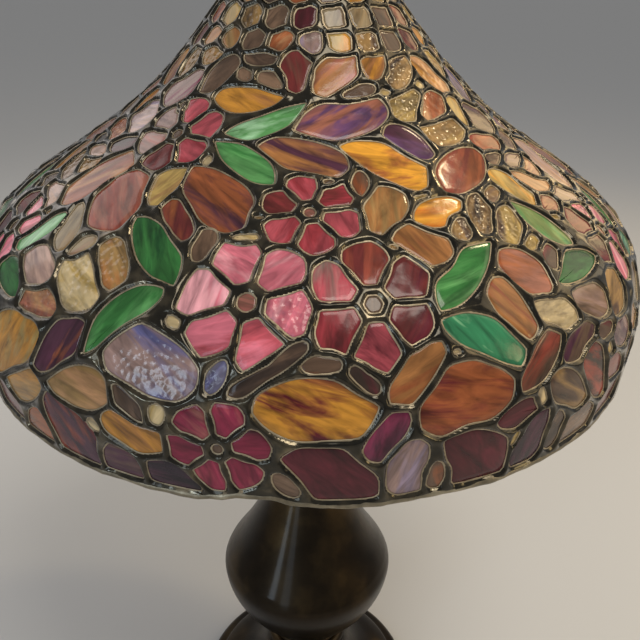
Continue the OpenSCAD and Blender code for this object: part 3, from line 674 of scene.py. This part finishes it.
def bead_height(away):
    """Height of the rounded solder over the glass faces, by the distance from the nearest stone."""
    t = np.clip((away - BEAD_START) / (BEAD_FULL - BEAD_START), 0, 1)
    return -0.2 + BEAD_RISE * np.sqrt(1 - (1 - t) ** 2)


def solder_mesh(name, chart, inward, first, last):
    """Raised solder between the stones, on columns first to last of the chart."""
    cols = np.arange(first, last + 1)
    wrapped = cols % chart.columns
    away = chart.distance[:, wrapped]
    level = chart.level[:, wrapped]
    az = np.broadcast_to(cols * 2 * math.pi / chart.columns - math.pi, away.shape)
    d = np.broadcast_to(chart.d[:, None], away.shape)
    base = wall.point(az, d, 0 * away)
    lumps = 0.28 * noise_at(base, 8, 3) + 0.16 * noise_at(base, 3.2, 4)
    rise = bead_height(away) + lumps * np.clip(away, 0, 1)
    out = level - GLASS_T - rise * 0.7 if inward else level + rise
    points = wall.point(az, d, out)
    keep = (away > -1.0) & (np.arange(len(chart.d))[:, None] <= chart.rim_row[wrapped][None, :])
    corner = keep[:-1, :-1] & keep[1:, :-1] & keep[:-1, 1:] & keep[1:, 1:]
    rows, columns = np.nonzero(corner)
    a = rows * len(cols) + columns
    quad = [a, a + len(cols), a + len(cols) + 1, a + 1]
    points, faces = keep_used(points.reshape(-1, 3), np.stack(quad[::-1] if inward else quad, -1))
    piece = add_mesh(name, points, faces, solder_metal)
    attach(piece, "shade")
    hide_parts("solder_shell")


chart = Chart(COLUMNS, ROW_STEP)
# The outside is in four pieces, the front one centred on the front
OUTER_PIECES = 4
per_piece = COLUMNS // OUTER_PIECES
for k in range(OUTER_PIECES):
    first = k * per_piece + per_piece // 2
    solder_mesh("solder_outside_%d" % (k + 1), chart, False, first, first + per_piece)
solder_mesh("solder_inside", chart.half(), True, 0, COLUMNS // 2)

# Foil round each stone: how far in from the edge, and how high over the glass
FOIL = ((0.4, -0.03), (0.3, 0.1), (0.0, 0.16), (-0.7, 0.12))


def foil_edges():
    """A thin ribbon of foil round every stone, between the glass and the solder."""
    points, faces = [], []
    base = 0
    for stone in stones:
        count = len(stone.outline)
        for step, lift in FOIL:
            x, y = inset(stone.outline, step).T
            points.append(stone.place(x, y, stone.face_height(x, y) + lift))
        for level in range(len(FOIL) - 1):
            faces.append(ring_faces(count, base + (level + 1) * count, base + level * count))
        base += len(FOIL) * count
    piece = add_mesh("foil_edges", np.concatenate(points), np.concatenate(faces), foil_metal)
    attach(piece, "shade")


foil_edges()


# The rim's bead: points round it, half its thickness, and how far it hangs below the solder
RIM_SIDES = 12
RIM_THICK = 2.3
RIM_DROP = 1.0


def rim_mesh():
    """The rounded bead along the uneven lower edge."""
    level = chart.level[chart.rim_row, np.arange(COLUMNS)]
    middle = level - GLASS_T / 2 + 0.3
    thick = RIM_THICK + 0.4 * noise_at(wall.point(chart.az, chart.rim_d, 0 * chart.az), 7, 8)
    rows = []
    for k in range(RIM_SIDES):
        a = 2 * math.pi * k / RIM_SIDES
        rows.append(wall.point(chart.az, chart.rim_d + thick * math.cos(a) + RIM_DROP,
                               middle + (thick + 0.8) * math.sin(a)))
    faces = [ring_faces(COLUMNS, k * COLUMNS, (k + 1) % RIM_SIDES * COLUMNS) for k in range(RIM_SIDES)]
    piece = add_mesh("rim_edge", np.concatenate(rows), np.concatenate(faces), rim_metal)
    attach(piece, "shade")
    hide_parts("rim_bead")


rim_mesh()

# ---------------------------------------------------------------- turned metal
TURNED_SIDES = 128


def curved(line, steps):
    """Smooth open curve through points."""
    line = np.array(line, float)
    a = np.concatenate([line[:1], line[:-2]])
    b, c = line[:-1], line[1:]
    e = np.concatenate([line[2:], line[-1:]])
    rows = []
    for k in range(steps):
        t = k / steps
        rows.append(0.5 * (2 * b + (c - a) * t + (2 * a - 5 * b + 4 * c - e) * t * t
                           + (3 * b - a - 3 * c + e) * t ** 3))
    return np.concatenate([np.stack(rows, 1).reshape(-1, 2), line[-1:]])


def lathe(name, line, node_name, material, steps=6):
    """A turned piece round the lamp's axis; the line gives radius and height over the node's foot."""
    low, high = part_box(node_name)
    profile = curved(line, steps)
    turn = np.arange(TURNED_SIDES) * 2 * math.pi / TURNED_SIDES
    rows = [np.stack([r * np.cos(turn), r * np.sin(turn), z + 0 * turn], -1) for r, z in profile]
    points = np.concatenate(rows) * MM + np.array([0, 0, low.z])
    faces = np.concatenate([ring_faces(TURNED_SIDES, k * TURNED_SIDES, (k + 1) * TURNED_SIDES)
                            for k in range(len(profile) - 1)]).tolist()
    faces.append(list(range(TURNED_SIDES))[::-1])
    last = (len(profile) - 1) * TURNED_SIDES
    faces.append(list(range(last, last + TURNED_SIDES)))
    piece = add_mesh(name, points, faces, material)
    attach(piece, body_of[node_name])
    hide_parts(node_name)


body_of = {n: body for body, nodes in frame["record"]["behaviour"]["bodies"].items() for n in nodes}
FOOT_LINE = [(88, 0), (90, 2), (90, 6), (87, 9), (81, 11), (79, 14), (72, 18), (60, 23), (49, 30), (41, 38),
             (36, 46), (33.5, 53), (33, 58)]
KNOP_LINE = [(27, 0), (31, 1), (33.5, 3.5), (34, 6), (33.5, 8.5), (31, 11), (27, 12)]
URN_LINE = [(28, 0), (30, 3), (29, 6), (34, 13), (43, 24), (53, 38), (61, 52), (66, 65), (68, 78), (65.5, 86),
            (61.5, 93), (52.5, 107), (41.5, 127), (31.5, 147), (25.5, 161), (23, 173)]
COLLAR_LINE = [(20, 0), (25, 1.5), (26, 4), (25, 6.5), (20, 8), (15, 9.5), (13, 12)]
FINIAL_LINE = [(11, 0), (11, 3), (8, 5), (6.8, 8), (8, 11), (11, 14), (12.6, 18), (12, 22.5), (9, 27),
               (5, 30), (3.4, 32), (4, 34.5), (2.6, 37), (0.2, 38)]
lathe("foot_casting", FOOT_LINE, "foot", bronze)
lathe("waist_ring", KNOP_LINE, "waist_knop", bronze)
lathe("urn", URN_LINE, "urn_body", bronze)
lathe("collar", COLLAR_LINE, "neck_collar", bronze)
lathe("finial_knob", FINIAL_LINE, "finial", bronze)


# ---------------------------------------------------------------- bulbs
# Radius, and distance along the socket from the lamp's axis
BULB_LINE = [(12.5, 46), (12.5, 60), (12.5, 72), (14, 76), (18, 80.5), (21.5, 86.5), (22.5, 92.5),
             (21.5, 99.5), (18, 106), (12.5, 111.2), (6.5, 114.2), (0.3, 115)]
ARM_OVER_CLUSTER = 15.0
BULB_SIDES = 48


def bulb(number, material):
    """A round bulb along its socket's axis, which is also the axis of its joint."""
    joint = next(j for j in frame["record"]["behaviour"]["joints"] if j["name"] == "bulb_%d_draw" % number)
    out = Vector(joint["axis"]).normalized()
    origin = Vector((0, 0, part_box("cluster_body")[0].z + ARM_OVER_CLUSTER * MM))
    side = out.cross(Vector((0, 0, 1))).normalized()
    top = side.cross(out)
    profile = curved(BULB_LINE, 4)
    turn = np.arange(BULB_SIDES) * 2 * math.pi / BULB_SIDES
    rows = [np.outer(np.cos(turn) * r, side) + np.outer(np.sin(turn) * r, top) + x * np.array(out)
            for r, x in profile]
    points = np.concatenate(rows) * MM + np.array(origin)
    faces = np.concatenate([ring_faces(BULB_SIDES, (k + 1) * BULB_SIDES, k * BULB_SIDES)
                            for k in range(len(profile) - 1)]).tolist()
    last = (len(profile) - 1) * BULB_SIDES
    faces += [list(range(BULB_SIDES)), list(range(last, last + BULB_SIDES))[::-1]]
    piece = add_mesh("bulb_globe_%d" % number, points, faces, material)
    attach(piece, "bulb_%d" % number)
    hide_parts("bulb_%d" % number)


bulb_material, nodes, links, shader = new_material("frosted_bulb")
mist = object_noise(nodes, links, 200, 3)
links.new(ramp(nodes, links, mist, [(0.3, (0.74, 0.72, 0.66)), (0.7, (0.86, 0.84, 0.79))]),
          shader.inputs["Base Color"])
shader.inputs["Roughness"].default_value = 0.35
shader.inputs["Subsurface Weight"].default_value = 0.3
bump(nodes, links, shader, mist, 0.1, 0.0004)
for number in (1, 2, 3):
    bulb(number, bulb_material)

# ---------------------------------------------------------------- CAD pieces that keep their shape
felt_material, nodes, links, shader = new_material("green_felt")
nap = object_noise(nodes, links, 900, 4)
links.new(ramp(nodes, links, nap, [(0.3, (0.01, 0.03, 0.015)), (0.7, (0.03, 0.08, 0.04))]),
          shader.inputs["Base Color"])
shader.inputs["Roughness"].default_value = 0.95
bump(nodes, links, shader, nap, 0.6, 0.0006)

plastic_material, nodes, links, shader = new_material("black_plastic")
pebbled = object_noise(nodes, links, 700, 3)
links.new(ramp(nodes, links, pebbled, [(0.3, (0.01, 0.01, 0.01)), (0.7, (0.025, 0.025, 0.025))]),
          shader.inputs["Base Color"])
shader.inputs["Roughness"].default_value = 0.5
bump(nodes, links, shader, pebbled, 0.3, 0.0003)

FINISH_OF_SLOT = {"bronze": bronze, "steel": zinc_steel, "old_brass": old_brass, "iron": raw_iron,
                  "felt": felt_material, "bulb_glass": bulb_material, "black_plastic": plastic_material,
                  "solder": solder_metal}
for part in frame["record"]["subparts"]:
    finish = FINISH_OF_SLOT.get(part["material_slot"])
    cad = frame["nodes"][part["node"]]
    if finish is None:
        continue
    if not cad.data.materials:
        cad.data.materials.append(finish)
    for place in cad.material_slots:
        place.material = finish

# ---------------------------------------------------------------- floor, light and camera
floor_material, nodes, links, shader = new_material("floor")
shader.inputs["Base Color"].default_value = (0.64, 0.64, 0.64, 1)
shader.inputs["Roughness"].default_value = 0.9
FLOOR_HALF = 40
corners = np.array([[-1, -1, 0], [1, -1, 0], [1, 1, 0], [-1, 1, 0]], float) * FLOOR_HALF
add_mesh("floor", corners, np.array([[0, 1, 2, 3]]), floor_material)


def area_light(name, where, target, size, power, colour):
    """A rectangular light at a place, turned to a target."""
    light = bpy.data.lights.new(name, "AREA")
    light.shape = "RECTANGLE"
    light.size, light.size_y = size
    light.energy = power
    light.color = colour
    lamp = bpy.data.objects.new(name, light)
    lamp.location = where
    lamp.rotation_euler = (Vector(target) - Vector(where)).to_track_quat("-Z", "Y").to_euler()
    bpy.context.scene.collection.objects.link(lamp)


CENTRE = (0.0, 0.0, 0.45)
area_light("key_over_camera", (0.5, -0.7, 2.0), CENTRE, (0.8, 0.8), 14, (1.0, 0.93, 0.82))
area_light("key_right", (1.5, 0.1, 1.3), CENTRE, (1.2, 1.2), 6, (1.0, 0.82, 0.56))
area_light("sheen_left", (-1.2, 0.8, 1.2), CENTRE, (0.9, 0.9), 3, (1.0, 0.93, 0.90))
area_light("edge_right", (1.2, 1.0, 1.0), CENTRE, (0.6, 0.6), 2.6, (1.0, 0.72, 0.36))
area_light("glint_right", (0.80, 0.45, 1.62), CENTRE, (0.14, 0.14), 3.0, (1.0, 0.80, 0.50))
area_light("window_left", (-0.75, -1.5, 0.75), CENTRE, (0.3, 1.2), 3.0, (0.70, 0.84, 1.0))
area_light("glint_left", (-1.15, -1.2, 0.55), CENTRE, (0.22, 0.4), 2.4, (0.72, 0.86, 1.0))
area_light("low_right", (1.2, -0.6, 0.7), (0, 0, 0.2), (0.3, 0.3), 1.4, (1.0, 0.78, 0.42))

world = bpy.data.worlds.new("studio")
world.use_nodes = True
world.node_tree.nodes["Background"].inputs["Color"].default_value = (0.50, 0.50, 0.50, 1)
world.node_tree.nodes["Background"].inputs["Strength"].default_value = 0.60
bpy.context.scene.world = world
bpy.context.scene.view_settings.view_transform = "Standard"

# The camera looks down at the shade from close by: metres, degrees, and lens in sensor widths
CAMERA_BACK = 0.450
CAMERA_OVER_WIDEST = 0.1873
PITCH, YAW, ROLL = (math.radians(a) for a in (26.6, 1.0, 0.84))
LENS_WIDTHS = 1.121
widest = float(wall.z[np.argmax(wall.r)]) * MM
camera_data = bpy.data.cameras.new("camera")
camera_data.sensor_width = 36.0
camera_data.lens = LENS_WIDTHS * camera_data.sensor_width
camera_data.clip_start = 0.01
camera = bpy.data.objects.new("camera", camera_data)
camera.location = (0, -CAMERA_BACK, widest + CAMERA_OVER_WIDEST)
camera.rotation_mode = "QUATERNION"
ahead = Vector((math.sin(YAW) * math.cos(PITCH), math.cos(YAW) * math.cos(PITCH), -math.sin(PITCH)))
camera.rotation_quaternion = ahead.to_track_quat("-Z", "Y") @ Quaternion((0, 0, 1), ROLL)
bpy.context.scene.collection.objects.link(camera)
bpy.context.scene.camera = camera
